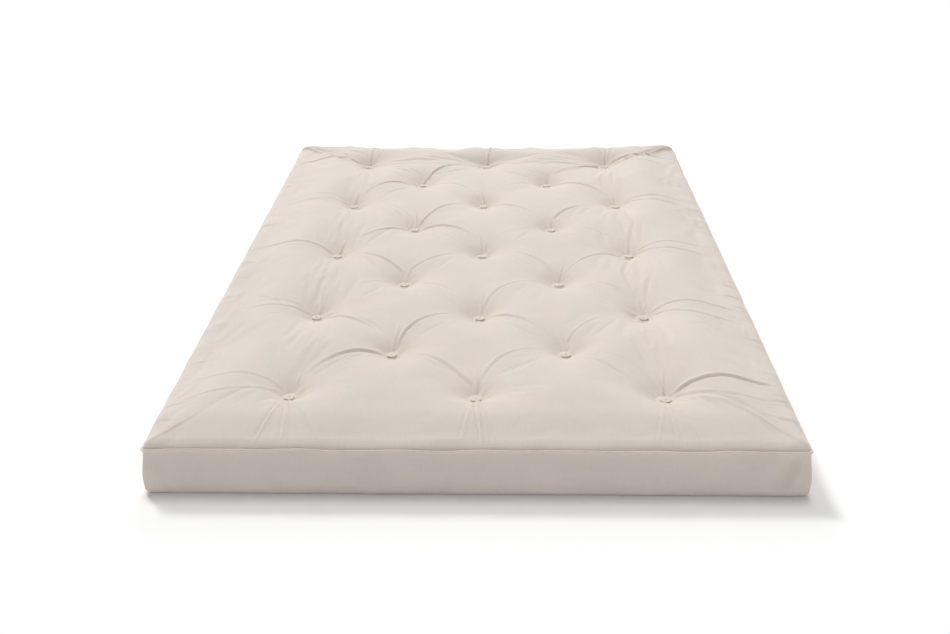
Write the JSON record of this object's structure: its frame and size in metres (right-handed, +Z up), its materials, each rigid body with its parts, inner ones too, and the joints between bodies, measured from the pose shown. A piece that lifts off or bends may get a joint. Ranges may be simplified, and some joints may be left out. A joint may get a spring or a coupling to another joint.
{
  "type": "futon mattress",
  "caption": "Tufted cotton futon mattress: a boxed canvas cover over batting and a foam core, held in quilted dimples by twine ties with felt pads.",
  "frame": {"origin": "centre of the underside, on the floor the mattress lies on", "axes": "+Z up through the thickness, +Y along the length, away from the end nearest the viewer, +X across the width"},
  "size_m": [1.4, 2, 0.16],
  "materials": {
    "canvas": "matte",
    "batting": "matte",
    "foam": "matte",
    "felt": "matte",
    "twine": "matte"
  },
  "bodies": {
    "root": {"border_back": "canvas", "border_front": "canvas", "border_left": "canvas", "border_right": "canvas", "bottom_panel": "canvas", "foam_core": "foam", "lower_batt_1": "batting", "lower_batt_2": "batting", "top_panel": "canvas", "tuft_pad_r1c1": "felt", "tuft_pad_r1c2": "felt", "tuft_pad_r1c3": "felt", "tuft_pad_r2c1": "felt", "tuft_pad_r2c2": "felt", "tuft_pad_r3c1": "felt", "tuft_pad_r3c2": "felt", "tuft_pad_r3c3": "felt", "tuft_pad_r4c1": "felt", "tuft_pad_r4c2": "felt", "tuft_pad_r5c1": "felt", "tuft_pad_r5c2": "felt", "tuft_pad_r5c3": "felt", "tuft_pad_r6c1": "felt", "tuft_pad_r6c2": "felt", "tuft_pad_r7c1": "felt", "tuft_pad_r7c2": "felt", "tuft_pad_r7c3": "felt", "tuft_pad_r8c1": "felt", "tuft_pad_r8c2": "felt", "tuft_pad_r9c1": "felt", "tuft_pad_r9c2": "felt", "tuft_pad_r9c3": "felt", "tuft_tie_r1c1": "twine", "tuft_tie_r1c2": "twine", "tuft_tie_r1c3": "twine", "tuft_tie_r2c1": "twine", "tuft_tie_r2c2": "twine", "tuft_tie_r3c1": "twine", "tuft_tie_r3c2": "twine", "tuft_tie_r3c3": "twine", "tuft_tie_r4c1": "twine", "tuft_tie_r4c2": "twine", "tuft_tie_r5c1": "twine", "tuft_tie_r5c2": "twine", "tuft_tie_r5c3": "twine", "tuft_tie_r6c1": "twine", "tuft_tie_r6c2": "twine", "tuft_tie_r7c1": "twine", "tuft_tie_r7c2": "twine", "tuft_tie_r7c3": "twine", "tuft_tie_r8c1": "twine", "tuft_tie_r8c2": "twine", "tuft_tie_r9c1": "twine", "tuft_tie_r9c2": "twine", "tuft_tie_r9c3": "twine", "upper_batt_1": "batting", "upper_batt_2": "batting"}
  },
  "joints": []
}
